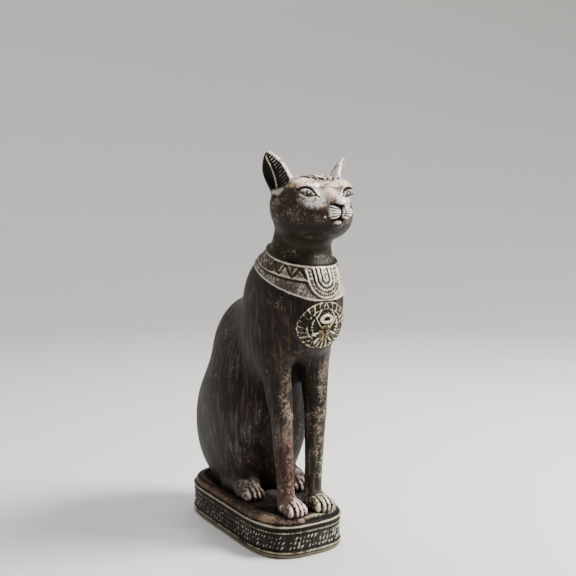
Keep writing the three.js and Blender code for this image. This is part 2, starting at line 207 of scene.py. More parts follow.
def earPlace(x, y, z):
    # across the ear, out of its opening, up it, and the share of its height
    v = (np.abs(x) - ear["root"][0], y - ear["root"][1], z - ear["root"][2])
    across, out, up = [dot(v, axis) for axis in earAxes()]
    height = np.where(x > 0, ear["leftHeight"], ear["height"])
    return across, out, up, height, np.clip(up / height, 0, 1)


def earHalf(across, share):
    root = np.where(across > 0, 1 - ear["pinch"] * (1 - smooth(0.2, 0.75, share)), 1)
    return ear["width"] / 2 * (1 - share ** 3) ** 0.8 * root + ear["blunt"]


def earField(x, y, z):
    across, out, up, height, share = earPlace(x, y, z)
    half = earHalf(across, share)
    deep = ear["deep"] * (1 - share) + ear["rim"]
    side = (np.hypot(across / half, out / deep) - 1) * np.minimum(half, deep)
    body = np.maximum(np.maximum(side, up - height), -ear["sunk"] - up)
    return carve(body, lump(across, out, up, *ear["hollow"]), ear["edge"])


eye = {
    "ball": ((14.6, -75.1, 202.4), (5.8, 3.6, 3)),
    "inner": (10, -80, 200.9),
    "outer": (19.4, -75.1, 203.8),
    "out": (0.45, -0.88, 0.1),
    "high": 2.9,  # of the opening, above and below the line between the corners
    "low": 2.0,
    "duct": 1.1,  # half the length of the tear duct
}
joins = {"legs": 4, "feet": 3, "skull": 6, "ears": 2.5, "eyes": 0.8}
sunk = 2  # how far the cat goes down into the slab


def catField(p):
    x, y, z = p.T
    q = np.abs(x)
    d = grown(x, y, z, torso)
    d = blend(d, grown(x, y, z, foreleg), joins["legs"])
    d = blend(d, feet(q, y, z), joins["feet"])
    d = blend(d, grown(x, y, z, skull), joins["skull"])
    d = blend(d, earField(x, y, z), joins["ears"])
    d = blend(d, lump(q, y, z, *eye["ball"]), joins["eyes"])
    return np.maximum(d, -sunk - z)


# Carved relief, as a height above the plain form

def eyeRelief(q, y, z):
    inner, outer = np.array(eye["inner"]), np.array(eye["outer"])
    centre = (inner + outer) / 2
    half = np.linalg.norm(outer - inner) / 2
    along = (outer - inner) / (2 * half)
    up = -np.cross(along, eye["out"])
    up /= np.linalg.norm(up)
    v = (q - centre[0], y - centre[1], z - centre[2])
    a, b = dot(v, along), dot(v, up)
    s = np.clip(np.abs(a) / half, 0, 1)
    top = eye["high"] * (1 - s * s) ** 0.8
    low = -eye["low"] * (1 - s * s)
    edge = np.minimum(top - b, b - low)
    edge = np.where(np.abs(a) > half, -np.hypot(np.abs(a) - half, b), edge)
    duct = np.maximum(np.abs(a + half + eye["duct"]) - eye["duct"], 0)
    duct = np.hypot(duct, b - 0.25 * (a + half))
    near = smooth(-64, -68, y) * smooth(11, 9, np.hypot(a, b))
    lids = 0.5 * hump(edge + 1.5, 1.0) * (b > -1)
    line = -1.5 * hump(edge, 0.9) * smooth(-0.8, 0.6, b) - 0.5 * hump(edge, 0.6)
    return near * (0.5 * smooth(0.2, 1.8, edge) + line + lids - 0.9 * hump(duct, 0.8) * (a < -half))


muzzle = {
    # heights of the whisker lines, the pads' middle, the mouth and the nose's lower edge
    "whiskers": (188.3, 189.9, 191.5, 193.1),
    "pads": 190.7,
    "mouth": 186.9,
    "leather": 194.2,
    "nostril": (2.1, 194.6),  # how far across and how high
}


def muzzleRelief(x, y, z, q):
    front = smooth(-82, -86, y)
    cleft = -1.1 * hump(x, 0.8) * smooth(186, 187.2, z) * smooth(195, 194, z)
    whiskers = 0
    for level in muzzle["whiskers"]:
        # the lines fan out from the middle
        line = z - level - 0.08 * (q - 5) * (level - muzzle["pads"])
        whiskers = whiskers - 1.1 * hump(line, 0.65) * smooth(1, 1.8, q) * smooth(7.4, 6.6, q)
    mouth = -0.9 * hump(z - muzzle["mouth"] + 0.03 * q * q, 0.8) * smooth(5.5, 4, q)
    across, high = muzzle["nostril"]
    nostril = -0.9 * hump(np.hypot((q - across) / 1.3, (z - high) / 0.8), 1.2)
    leather = -0.7 * hump(z - muzzle["leather"] - 0.3 * q, 0.7) * smooth(5, 4, q)
    return front * (cleft + whiskers + mouth + nostril + leather)


locks = {
    "across": 3,  # in the front row, and one fewer behind it
    "first": 2.2,  # from the middle line
    "gap": 4.6,
    "start": 72.5,  # in front of the cat's middle
    "rowGap": 5.6,
    "fall": 0.6,  # that each further one stands back
    "slant": 0.7,
    "rise": 1.1,
}


def crownRelief(x, y, z):
    # short locks on the crown that overlap like shingles and run back and outwards:
    # how high they rise, and the shade along their steep front edges
    top = smooth(203.5, 205, z)
    lift, shade = 0, 0
    for row in (0, 1):
        for k in range(locks["across"] - row):
            across = np.abs(x) - locks["first"] - locks["gap"] * k - locks["gap"] / 2 * row
            behind = y + locks["start"] - locks["rowGap"] * row - locks["fall"] * k
            length = smooth(3.4, 2, np.abs(across + behind) * locks["slant"])
            edge = (across - behind) * locks["slant"]
            lift = np.maximum(lift, length * smooth(-2.6, -0.2, edge) * smooth(0.8, 0, edge))
            shade = np.maximum(shade, length * hump(edge - 0.7, 0.9))
    return locks["rise"] * top * lift, top * shade


def earRelief(x, y, z):
    # a rib up the hollow, with slanting strokes on its inner side
    across, out, up, _, share = earPlace(x, y, z)
    margin = earHalf(across, share) - np.abs(across) - 1.4
    inside = smooth(-1.7, -0.8, out) * smooth(7.4, 9, up) * smooth(0, 1, margin)
    rib = across - 1.2
    panel = smooth(-0.4, -1.2, rib)
    pitch = 1.9
    hatch = 0.5 * (np.cos(2 * np.pi * (up + 0.4 * across) / pitch) - 1)
    return inside * (1.2 * hump(rib, 0.75) + panel * hatch) * smooth(0.98, 0.88, share)


collar = {
    "front": 158,  # height of its upper edge at the chest
    "depth": 21.2,
    "slope": 0.17,  # rise of the upper edge towards the back, and how that steepens
    "bend": 0.0027,
    "capeSlope": 0.34,
    "chest": -73,
    "bandShare": 0.46,  # of the depth that the upper band takes in front, and its growth
    "bandGrowth": 0.0055,
    "proud": 1.3,
    "axis": -45,  # of the neck, for distances round it
    "radius": 26,
    "triangle": 9.2,  # from one to the next round the neck
    "span": 20,  # the depth in millimetres that its line work is drawn for
}
pendant = {
    "radius": 11.7,
    "centre": 150.2,
    "proud": 1.0,
    "rings": ((2.4, 0.6), (5.2, 0.6), (7.6, 0.55)),  # radius and half width of each
    "inner": 7.9,  # from which radius its rays run out
    "rayTurn": 9,  # degrees from ray to ray
    "stepGap": 2.1,
}
medallion = {
    "radius": 14.8,
    "breadth": 1.15,  # times its height
    "centre": 122.2,
    "unit": 16,  # what the radius counts in the figures below
    "feathers": 24,
    "legs": (
        ((3.2, -0.5), (6.3, 5)),
        ((6.3, 5), (3.4, 10.4)),
        ((4, -4.5), (7.6, -6)),
        ((3.4, -8), (6.6, -11)),
    ),
}


def collarShare(y, z):
    back = y - collar["chest"]
    upper = collar["front"] + collar["slope"] * back + collar["bend"] * back * np.abs(back)
    drop = collar["front"] - collar["depth"] + 1.2 * smooth(-4.4, 2.6, back)
    lower = drop + collar["capeSlope"] * (back + 4.4)
    return (upper - z) / (upper - lower)


def strip(gap, width):
    # 1 along a line of the collar, from the share of its depth that lies between
    return hump(gap * collar["span"], width)


def collarRelief(x, y, z):
    s = collarShare(y, z)
    edge = collar["bandShare"] + collar["bandGrowth"] * (y - collar["chest"])
    band = smooth(-0.03, 0.02, s) - smooth(edge - 0.02, edge + 0.02, s)
    cape = smooth(edge - 0.02, edge + 0.02, s) - smooth(0.97, 1.01, s)
    # triangles cut in the band, pointing up and down in turn
    arc = np.arctan2(x, -(y - collar["axis"])) * collar["radius"]
    down = (s - 0.1) / (edge - 0.13)
    wave = np.abs(((arc / collar["triangle"]) % 1) * 2 - 1)
    within = smooth(0, 0.06, down) * smooth(1, 0.94, down)
    lines = -0.9 * hump((down - wave) * collar["triangle"] * 0.45, 0.75)
    bars = -0.3 * hump((wave - 0.97) * collar["triangle"] / 2, 0.6)
    rims = 0.55 * strip(s - 0.03, 0.9) - 0.5 * strip(s - 0.095, 0.6)
    rims = rims + 0.35 * strip(s - edge + 0.04, 0.6) - 0.6 * strip(s - edge - 0.045, 0.9)
    rims = rims + 0.7 * strip(s - 0.965, 0.9) - 0.35 * strip(s - 1.04, 0.9)
    near = (z > 125) & (z < 182) & (y < 20)
    return near * (collar["proud"] * (band + 0.45 * cape) + within * (lines + bars) + rims)


def pendantRelief(x, y, z):
    # where it may lie, where it does, and its height there
    below = np.minimum(0, z - pendant["centre"])
    reach = np.hypot(x, below)
    r = pendant["radius"]
    on = smooth(-48, -52, y) * smooth(0.3, -0.2, z - collar["front"] + 1.2)
    body = 1 - smooth(r - 0.7, r + 0.4, reach)
    rings = -0.9 * sum(hump(reach - ring, half) for ring, half in pendant["rings"])
    starts = smooth(pendant["inner"], pendant["inner"] + 0.4, reach)
    ends = smooth(r - 1.2, r - 1.6, reach)
    turn = np.degrees(np.arctan2(x, -below + 1e-6))
    rays = -0.6 * hump(((turn / pendant["rayTurn"]) % 1 - 0.5) * 1.7, 0.45) * starts * ends
    gap = pendant["stepGap"]
    steps = -0.75 * hump(((z / gap) % 1 - 0.5) * gap, 0.5) * starts * ends
    rim = 0.3 * hump(reach - r + 0.6, 0.7)
    inside = np.where(below < 0, rays, steps)
    height = body * (pendant["proud"] + rings + inside) + rim * on
    return on, body, height


def medallionPlace(x, z):
    size = medallion["radius"] / medallion["unit"]
    return x / (medallion["breadth"] * size), (z - medallion["centre"]) / size


def medallionRelief(x, y, z):
    u, w = medallionPlace(x, z)
    r = np.hypot(u, w)
    turn = np.arctan2(u, w)
    ring = smooth(6.8, 7.8, r) - smooth(15.6, 16.3, r)
    # the wings: an outer row of long feathers and an inner row of short ones
    bend = turn * medallion["feathers"] + 0.9 * np.sign(u) * (r - 8)
    outer = 0.9 * (hump(np.sin(bend / 2), 0.5) - 0.35)
    outer = outer * smooth(11.2, 11.8, r) * smooth(16.2, 15.2, r)
    inner = 0.7 * (hump(np.sin(bend / 2 + 1), 0.5) - 0.35) * smooth(10.8, 10.2, r)
    edges = 0.7 * (hump(r - 8.6, 0.7) + 0.5 * hump(r - 11, 0.5) + 0.7 * hump(r - 15.6, 0.6))
    wings = ring * (0.6 + outer + inner + edges)
    # the beetle with its wing cases, the disc that it holds up, the fan of its tail, the legs
    beetle = 1 - smooth(0.86, 1.08, np.hypot(u / 4.3, (w + 4.8) / 6.4))
    backLine = -0.8 * hump(u, 0.5) * (w < -3) - 0.8 * hump(w + 2.4, 0.5)
    cases = beetle * (1.9 * np.sqrt(np.clip(1.15 - (u / 4.4) ** 2, 0, 1)) + backLine)
    disc = np.hypot(u / 4.6, (w - 4.6) / 3.4)
    sun = (1 - smooth(0.9, 1.1, disc)) * (2.2 - 1.4 * smooth(0.5, 0.25, disc))
    fan = np.hypot(u / 6, (w + 11.5) / 4)
    tail = (1 - smooth(0.9, 1.08, fan)) * (1.2 + 0.6 * np.cos(np.arctan2(u, -(w + 4)) * 20))
    legs = 0
    for side in (1, -1):
        for start, end in medallion["legs"]:
            a = np.array(start) * (side, 1)
            run = np.array(end) * (side, 1) - a
            t = np.clip(((u - a[0]) * run[0] + (w - a[1]) * run[1]) / (run @ run), 0, 1)
            gap = np.hypot(u - a[0] - t * run[0], w - a[1] - t * run[1])
            legs = np.maximum(legs, 1.7 * hump(gap, 1.0))
    on = smooth(-48, -52, y) * (1 - smooth(17, 18, r))
    top = np.maximum(np.maximum(wings, cases), np.maximum(np.maximum(sun, tail), legs))
    return on * top


def pawRelief(q, y, z):
    # clefts between the toes
    cut = 0
    for across, front, _ in (paws["fore"], paws["hind"]):
        near = smooth(9, 7, np.hypot(q - across, y - front - 5))
        near = near * smooth(0.2, 1.2, z) * smooth(9.5, 7.5, z)
        for side in (-1, 0, 1):
            cleft = q - across - side * 3.4 - 0.02 * side * (y - front)
            cut = cut - near * 1.1 * hump(cleft, 0.65)
    return cut


levels = {"head": 178, "chest": 90}  # where each starts


def relief(p):
    x, y, z = p.T
    q = np.abs(x)
    on, body, badge = pendantRelief(x, y, z)
    neckwear = collarRelief(x, y, z)
    chest = neckwear * (1 - body) + badge + 0.8 * body * (collarShare(y, z) < 1)
    chest = np.where(on > 0.5, chest, neckwear)
    chest = np.maximum(chest, medallionRelief(x, y, z))
    head = eyeRelief(q, y, z) + muzzleRelief(x, y, z, q)
    head = head + crownRelief(x, y, z)[0] + earRelief(x, y, z)
    lower = np.where(z > levels["chest"], chest, pawRelief(q, y, z))
    return np.where(z > levels["head"], head, lower)


# Meshing

mesh = {
    "low": (-38, -99, -4.3),
    "high": (38, 72, 232),
    "step": 1.7,
    "rounds": 4,
    "slack": 1.35,  # times the wanted length, before an edge is split
}


def fillDiagonals(value, skin):
    # fills in solid corners that meet only across a diagonal, so that no edge joins four faces
    while True:
        found = False
        for axis in range(3):
            s = np.moveaxis(value, axis, 2)
            a, b, c, d = s[:-1, :-1], s[1:, :-1], s[:-1, 1:], s[1:, 1:]
            cross = (a < 0) & (d < 0) & (b >= 0) & (c >= 0)
            other = (a >= 0) & (d >= 0) & (b < 0) & (c < 0)
            found = found or cross.any() or other.any()
            for part, hit in ((b, cross), (c, cross), (a, other), (d, other)):
                part[hit] = -skin
        if not found:
            return


def netSurface(field, low, high, step):
    # closed surface of a field, with one vertex to each cell that it crosses
    axes = [np.arange(a, b + step, step) for a, b in zip(low, high)]
    n = [len(a) for a in axes]
    value = np.empty(n, np.float32)
    for i, x in enumerate(axes[0]):
        yy, zz = np.meshgrid(axes[1], axes[2], indexing="ij")
        p = np.stack([np.full(yy.size, x), yy.ravel(), zz.ravel()], 1).astype(np.float32)
        value[i] = field(p).reshape(n[1], n[2])
    fillDiagonals(value, step * 0.05)
    inside = value < 0
    total = np.zeros([m - 1 for m in n] + [3])
    count = np.zeros([m - 1 for m in n])
    for axis in range(3):
        v = np.moveaxis(value, axis, 0)
        s = np.moveaxis(inside, axis, 0)
        crossed = s[:-1] != s[1:]
        share = np.where(crossed, v[:-1] / np.where(crossed, v[:-1] - v[1:], 1), 0)
        rest = [a for a in range(3) if a != axis]
        for o in (0, 1):
            for u in (0, 1):
                cut = (slice(None), slice(o, o + n[rest[0]] - 1), slice(u, u + n[rest[1]] - 1))
                hit = np.moveaxis(crossed[cut], 0, axis)
                total[..., axis] += np.moveaxis(share[cut], 0, axis)
                total[..., rest[0]] += o * hit
                total[..., rest[1]] += u * hit
                count += hit
    cells = np.argwhere(count > 0)
    index = np.full(count.shape, -1)
    index[tuple(cells.T)] = np.arange(len(cells))
    at = cells + total[tuple(cells.T)] / count[tuple(cells.T)][:, None]
    points = np.array(low) + at * step
    quads = []
    for axis in range(3):
        b, c = (axis + 1) % 3, (axis + 2) % 3
        keep = [slice(1, m - 1) for m in n]
        ahead = list(keep)
        ahead[axis] = slice(2, n[axis])
        here = inside[tuple(keep)]
        crossed = np.argwhere(here != inside[tuple(ahead)]) + 1
        outward = here[tuple((crossed - 1).T)]
        stepB, stepC = np.zeros(3, int), np.zeros(3, int)
        stepB[b], stepC[c] = 1, 1
        around = (stepB + stepC, stepC, 0 * stepB, stepB)
        corner = [index[tuple((crossed - o).T)] for o in around]
        quad = np.stack(corner, 1)
        quad[~outward] = quad[~outward][:, ::-1]
        quads.append(quad)
    quads = np.concatenate(quads)
    faces = np.concatenate([quads[:, [0, 1, 2]], quads[:, [0, 2, 3]]])
    return points, faces


def slope(field, p, h=0.05):
    offsets = np.array([(1, -1, -1), (-1, -1, 1), (-1, 1, -1), (1, 1, 1)], float)
    g = np.zeros_like(p)
    for o in offsets:
        g += o * field(p + o * h)[:, None]
    return g / (4 * h)


def settle(field, p, times=2):
    # moves points on to the field's surface
    for _ in range(times):
        g = slope(field, p)
        d = field(p)
        move = d / np.maximum((g * g).sum(1), 0.2)
        p = p - g * np.clip(move, -1, 1)[:, None]
    return p


def edgesOf(faces):
    pairs = np.sort(np.concatenate([faces[:, [0, 1]], faces[:, [1, 2]], faces[:, [2, 0]]]), 1)
    edges, back = np.unique(pairs, axis=0, return_inverse=True)
    return edges, back.reshape(3, -1).T


def neighbourSums(values, links):
    total = np.zeros_like(values)
    for a, b in ((0, 1), (1, 0)):
        for axis in range(values.shape[1]):
            total[:, axis] += np.bincount(links[:, a], values[links[:, b], axis], len(values))
    return total


def relax(field, points, faces, times, amount=0.5):
    edges, _ = edgesOf(faces)
    count = np.bincount(edges.ravel(), minlength=len(points))[:, None]
    for _ in range(times):
        centre = neighbourSums(points, edges) / count
        points = settle(field, points + amount * (centre - points), 1)
    return points


def corners(*columns):
    return np.stack(columns, 1)


def refine(field, points, faces, wanted):
    # splits the edges that are longer than wanted there
    for _ in range(mesh["rounds"]):
        edges, side = edgesOf(faces)
        a, b = points[edges[:, 0]], points[edges[:, 1]]
        middle = (a + b) / 2
        long = np.linalg.norm(a - b, axis=1) > mesh["slack"] * wanted(middle)
        if not long.any():
            break
        new = np.full(len(edges), -1)
        new[long] = len(points) + np.arange(long.sum())
        points = np.concatenate([points, settle(field, middle[long], 1)])
        mid = new[side]
        split = mid >= 0
        kinds = split.sum(1)
        out = [faces[kinds == 0]]
        for turn in range(3):
            f, m = np.roll(faces, -turn, 1), np.roll(mid, -turn, 1)
            one = (kinds == 1) & split[:, turn]
            g, e = f[one].T, m[one].T
            out += [corners(g[0], e[0], g[2]), corners(e[0], g[1], g[2])]
            two = (kinds == 2) & ~split[:, turn]
            g, e = f[two].T, m[two].T
            first, second = points[g[0]] - points[e[1]], points[g[1]] - points[e[2]]
            flip = np.linalg.norm(first, axis=1) > np.linalg.norm(second, axis=1)
            flip = flip[:, None]
            out.append(corners(e[2], e[1], g[2]))
            out.append(np.where(flip, corners(g[0], g[1], e[2]), corners(g[0], g[1], e[1])))
            out.append(np.where(flip, corners(g[1], e[1], e[2]), corners(g[0], e[1], e[2])))
        three = kinds == 3
        g, e = faces[three].T, mid[three].T
        out += [corners(g[0], e[0], e[2]), corners(g[1], e[1], e[0])]
        out += [corners(g[2], e[2], e[1]), corners(*e)]
        faces = np.concatenate(out)
        points = relax(field, points, faces, 2, 0.4)
    return points, faces


def fineness(p):
    # the wanted length of an edge at each place
    x, y, z = p.T
    q = np.abs(x)
    s = collarShare(y, z)
    onCollar = (s > -0.08) & (s < 1.12) & (z < 186)
    places = {
        "body": (1.9, slice(None)),
        "head": (1.3, z > 176),
        "face": (0.8, (z > 182) & (z < 212) & (y < -62)),
        "muzzle": (0.5, (z > 184) & (z < 199) & (y < -82)),
        "eyes": (0.5, (np.hypot(q - 14.7, z - 202.4) < 8) & (y < -68)),
        "ears": (0.64, (z > 204) & (q > 14)),
        "crown": (0.6, (z > 203) & (y < -60) & (y > -80) & (q < 18)),
        "collar": (1.0, onCollar),
        "collarFront": (0.66, onCollar & (y < -25)),
        "medallion": (0.56, (z > 104) & (z < 158) & (y < -55) & (q < 18.5)),
        "paws": (0.95, z < 11),
    }
    want = np.empty(len(p))
    for length, here in places.values():
        want[here] = length
    return want


def catSurface():
    points, faces = netSurface(catField, mesh["low"], mesh["high"], mesh["step"])
    points = relax(catField, points, faces, 3)
    print("plain cat", len(points), "points", len(faces), "triangles")
    points, faces = refine(catField, points, faces, fineness)
    points = relax(catField, points, faces, 2)
    normals = slope(catField, points)
    normals /= np.linalg.norm(normals, axis=1)[:, None]
    points = points + normals * relief(points)[:, None]
    print("carved cat", len(points), "points", len(faces), "triangles")
    return points + (0, 0, slabTop), faces


# Plinth, slab and tail, in millimetres above the floor

def outlineTurns(count):
    # the turns that space points evenly round the plinth
    t = np.linspace(0, 2 * np.pi, 20001)
    x, y = outlineAt(t, 0)
    run = np.concatenate([[0], np.cumsum(np.hypot(np.diff(x), np.diff(y)))])
    return np.interp(np.arange(count) / count * run[-1], run, t), run[-1]


def outlineAt(t, inset):
    power = 2 / plinth["power"]
    half = plinth["width"] / 2 - inset
    end = (plinth["length"] - plinth["straight"]) / 2 - inset
    c, s = np.cos(t), np.sin(t)
    x = np.sign(c) * half * np.abs(c) ** power
    # the straight sides are crossed within a small turn, so that the outline has no jump
    side = np.clip(s / 0.02, -1, 1) * plinth["straight"] / 2
    return x, np.sign(s) * end * np.abs(s) ** power + side


def skin(rings):
    # closed surface over rings of points that all have the same count
    n, m = len(rings[0]), len(rings)
    points = np.concatenate(list(rings) + [rings[0].mean(0)[None], rings[-1].mean(0)[None]])
    k, i = np.meshgrid(np.arange(m - 1), np.arange(n), indexing="ij")
    a, b = (k * n + i).ravel(), (k * n + (i + 1) % n).ravel()
    walls = np.concatenate([np.stack([a, b, b + n], 1), np.stack([a, b + n, a + n], 1)])
    i = np.arange(n)
    j = (i + 1) % n
    low = np.stack([np.full(n, m * n), j, i], 1)
    high = np.stack([np.full(n, m * n + 1), (m - 1) * n + i, (m - 1) * n + j], 1)
    return points, np.concatenate([walls, low, high])


profile = [
    # inset and height of each corner, from the foot up and over the slab's top
    (1.2, 0), (0.6, 0.8), (0.7, 2.4), (1.0, 2.8), (0.1, 3.4), (0.5, 4.1), (1.5, 4.6), (1.5, 15.2),
    (1.3, 15.6), (0.5, 16.3), (0.7, 16.9), (1.4, 17.3), (1.2, 19.0), (0.9, 19.4), (0.1, 20.0),
    (0.4, 20.6), (1.2, 20.9), (3.0, 21.2), (3.0, 23.9), (3.4, 24.9), (4.6, 25.5), (7, 25.5),
    (12, 25.5), (20, 25.5), (28, 25.5),
]


def profileRows():
    rows = []
    for (a, z0), (b, z1) in zip(profile, profile[1:]):
        gap = plinth["rowStep"] if z0 < 25 else plinth["topStep"]
        steps = max(1, round(math.hypot(b - a, z1 - z0) / gap))
        rows += [(a + (b - a) * i / steps, z0 + (z1 - z0) * i / steps) for i in range(steps)]
    return rows + [profile[-1]]


frieze = {
    "pitch": 2.7,
    "rowGap": 3.1,
    "skipped": 0.14,  # share of the places left empty
    "shift": 0.35,  # by chance, either way
    "lean": math.pi / 2 - 0.55,
    "leanShift": 0.3,
    "reaches": (0.05, 0.8, 1.2),  # half lengths of a dot and of two strokes
    "rise": 0.9,
    "half": 0.75,  # half the width of a stroke
}


def friezeMarks(length):
    # rows of loose strokes that all lean one way, and dots:
    # the place along the frieze and up it, the lean and the half length of each
    rng = np.random.default_rng(11)
    shift, leanShift = frieze["shift"], frieze["leanShift"]
    columns = round(length / frieze["pitch"])
    marks = []
    for i in range(columns):
        for row in (-1, 0, 1):
            if rng.random() < frieze["skipped"]:
                continue
            along = (i + 0.5 + 0.33 * row) * length / columns + rng.uniform(-shift, shift)
            lean = frieze["lean"] + rng.uniform(-leanShift, leanShift)
            reach = rng.choice(frieze["reaches"])
            marks.append((along, row * frieze["rowGap"] + rng.uniform(-shift, shift), lean, reach))
    return marks


def friezeStrokes(run, z, marks, length):
    low, high = plinth["frieze"]
    height = np.zeros_like(run)
    for side, row, lean, reach in marks:
        u = (run - side + length / 2) % length - length / 2
        w = z - (low + high) / 2 - row
        t = np.clip(u * math.cos(lean) + w * math.sin(lean), -reach, reach)
        gap = np.hypot(u - t * math.cos(lean), w - t * math.sin(lean))
        height = np.maximum(height, frieze["rise"] * hump(gap, frieze["half"]))
    return height


def plinthSurface():
    turns, length = outlineTurns(plinth["columns"])
    run = np.arange(plinth["columns"]) / plinth["columns"] * length
    low, high = plinth["frieze"]
    marks = friezeMarks(length)
    across, along = outlineAt(turns, 0)
    seam = plinth["seamRise"] * hump(across - plinth["seam"], plinth["seamHalf"]) * (along < 0)
    rings = []
    for inset, z in profileRows():
        proud = seam * (z < plinth["seamTop"])
        if low < z < high:
            proud = np.maximum(proud, friezeStrokes(run, z, marks, length))
        x, y = outlineAt(turns, inset)
        x1, y1 = outlineAt(turns, inset - 0.01)
        n = np.hypot(x1 - x, y1 - y)
        x, y = x + (x1 - x) / n * proud, y + (y1 - y) / n * proud
        rings.append(np.stack([x, y, np.full_like(x, z)], 1))
    return skin(rings)


tail = {
    "width": 8.6,
    "thick": 7.4,
    "inset": 1.6,  # from the plinth's edge
    "sunk": 0.42,  # share of the thickness that the middle lies below the slab's top
    "start": 6,  # across the plinth, behind the cat and in front of it
    "end": -5,
    "blunt": (0.3, 0.2),  # at its start and its end
    "steps": 260,
    "sides": 28,
}


def tailCourse():
    turns, _ = outlineTurns(1200)
    x, y = outlineAt(turns, tail["inset"] + tail["width"] / 2)
    first = np.argmax((y > 0) & (x < tail["start"]))
    x, y = np.roll(x, -first), np.roll(y, -first)
    last = np.argmax((y < 0) & (x > tail["end"]))
    return np.stack([x[:last + 1], y[:last + 1]], 1)


def tailSurface():
    course = tailCourse()
    gaps = np.hypot(*np.diff(course, axis=0).T)
    run = np.concatenate([[0], np.cumsum(gaps)])
    at = np.linspace(0, run[-1], tail["steps"])
    centre = np.stack([np.interp(at, run, course[:, 0]), np.interp(at, run, course[:, 1])], 1)
    ahead = np.gradient(centre, axis=0)
    ahead /= np.linalg.norm(ahead, axis=1)[:, None]
    inward = np.stack([-ahead[:, 1], ahead[:, 0]], 1)
    left = np.minimum(at + tail["blunt"][0], run[-1] - at + tail["blunt"][1])
    size = np.sqrt(np.clip(1 - (1 - np.clip(left / (tail["width"] / 2), 0, 1)) ** 2, 0.001, 1))
    a = np.arange(tail["sides"]) / tail["sides"] * 2 * np.pi
    height = slabTop - tail["thick"] * tail["sunk"]
    rings = []
    for c, n, s in zip(centre, inward, size):
        side = np.cos(a) * tail["width"] / 2 * s
        lift = np.sin(a) * tail["thick"] / 2 * s
        rings.append(np.stack([c[0] + n[0] * side, c[1] + n[1] * side, height + lift], 1))
    return skin(rings)


# Joining the three into one casting

def meshObject(name, points, faces):
    data = bpy.data.meshes.new(name)
    faces = faces if isinstance(faces, list) else faces.tolist()
    data.from_pydata((np.asarray(points) * mm).tolist(), [], faces)
    data.update()
    obj = bpy.data.objects.new(name, data)
    bpy.context.scene.collection.objects.link(obj)
    return obj


def joined(main, others):
    for other in others:
        union = main.modifiers.new("join", "BOOLEAN")
        union.operation = "UNION"
        union.solver = "MANIFOLD"
        union.object = other
    bpy.context.view_layer.update()
    ready = main.evaluated_get(bpy.context.evaluated_depsgraph_get())
    whole = bpy.data.meshes.new_from_object(ready)
    main.modifiers.clear()
    main.data = whole
    for other in others:
        bpy.data.objects.remove(other)
    return main


figure = meshObject("catFigure", *catSurface())
base = meshObject("base", *plinthSurface())
curled = meshObject("curled", *tailSurface())
joined(figure, [base, curled])
figure.data.shade_smooth()
print("figure", len(figure.data.vertices), "points", len(figure.data.polygons), "faces")


# Finish. Each point carries the colour of its ground coat, the colour of the lighter coat brushed
# over it, how much of that coat took, how far it stands proud, how closely it is hemmed in (which
# sets how much painted shade it gets), and whether it is on the slab's dull top.

def tone(values):
    # a colour as it looks on screen, in the linear values that shaders take
    return np.array([(v / 255) ** 2.2 for v in values])


def readMesh(data):
    count = len(data.vertices)
    place, normal = np.empty(count * 3), np.empty(count * 3)
    links = np.empty(len(data.edges) * 2, np.int32)
    data.vertices.foreach_get("co", place)
    data.vertices.foreach_get("normal", normal)
    data.edges.foreach_get("vertices", links)
    return place.reshape(-1, 3) / mm - (0, 0, slabTop), normal.reshape(-1, 3), links.reshape(-1, 2)


def blurred(values, links, times):
    count = np.maximum(np.bincount(links.ravel(), minlength=len(values)), 1)[:, None]
    for _ in range(times):
        values = (values + neighbourSums(values, links) / count) / 2
    return values


paintedShadeReach = {"reaches": (2.5, 6, 12), "slab": (29, 62)}  # how far it looks, the slab's half sides


def hemmed(p, n):
    # how much the cat and the slab close in on each point: the amount of painted shade put there
    closed = np.zeros(len(p))
    for reach in paintedShadeReach["reaches"]:
        at = p + n * reach
        overSlab = (np.abs(at[:, 0]) < paintedShadeReach["slab"][0]) & (np.abs(at[:, 1]) < paintedShadeReach["slab"][1])
        clear = np.minimum(catField(at), np.where(overSlab, at[:, 2], reach))
        closed += np.clip(1 - clear / reach, 0, 1) / len(paintedShadeReach["reaches"])
    return closed


def blob(p, centre, radii, soft=0.3):
    k = np.sqrt((((p - centre) / radii) ** 2).sum(1))
    return 1 - smooth(1 - soft, 1 + soft, k)


# Each coat below: where it lies, the ground colour, the brushed colour, how much of that took

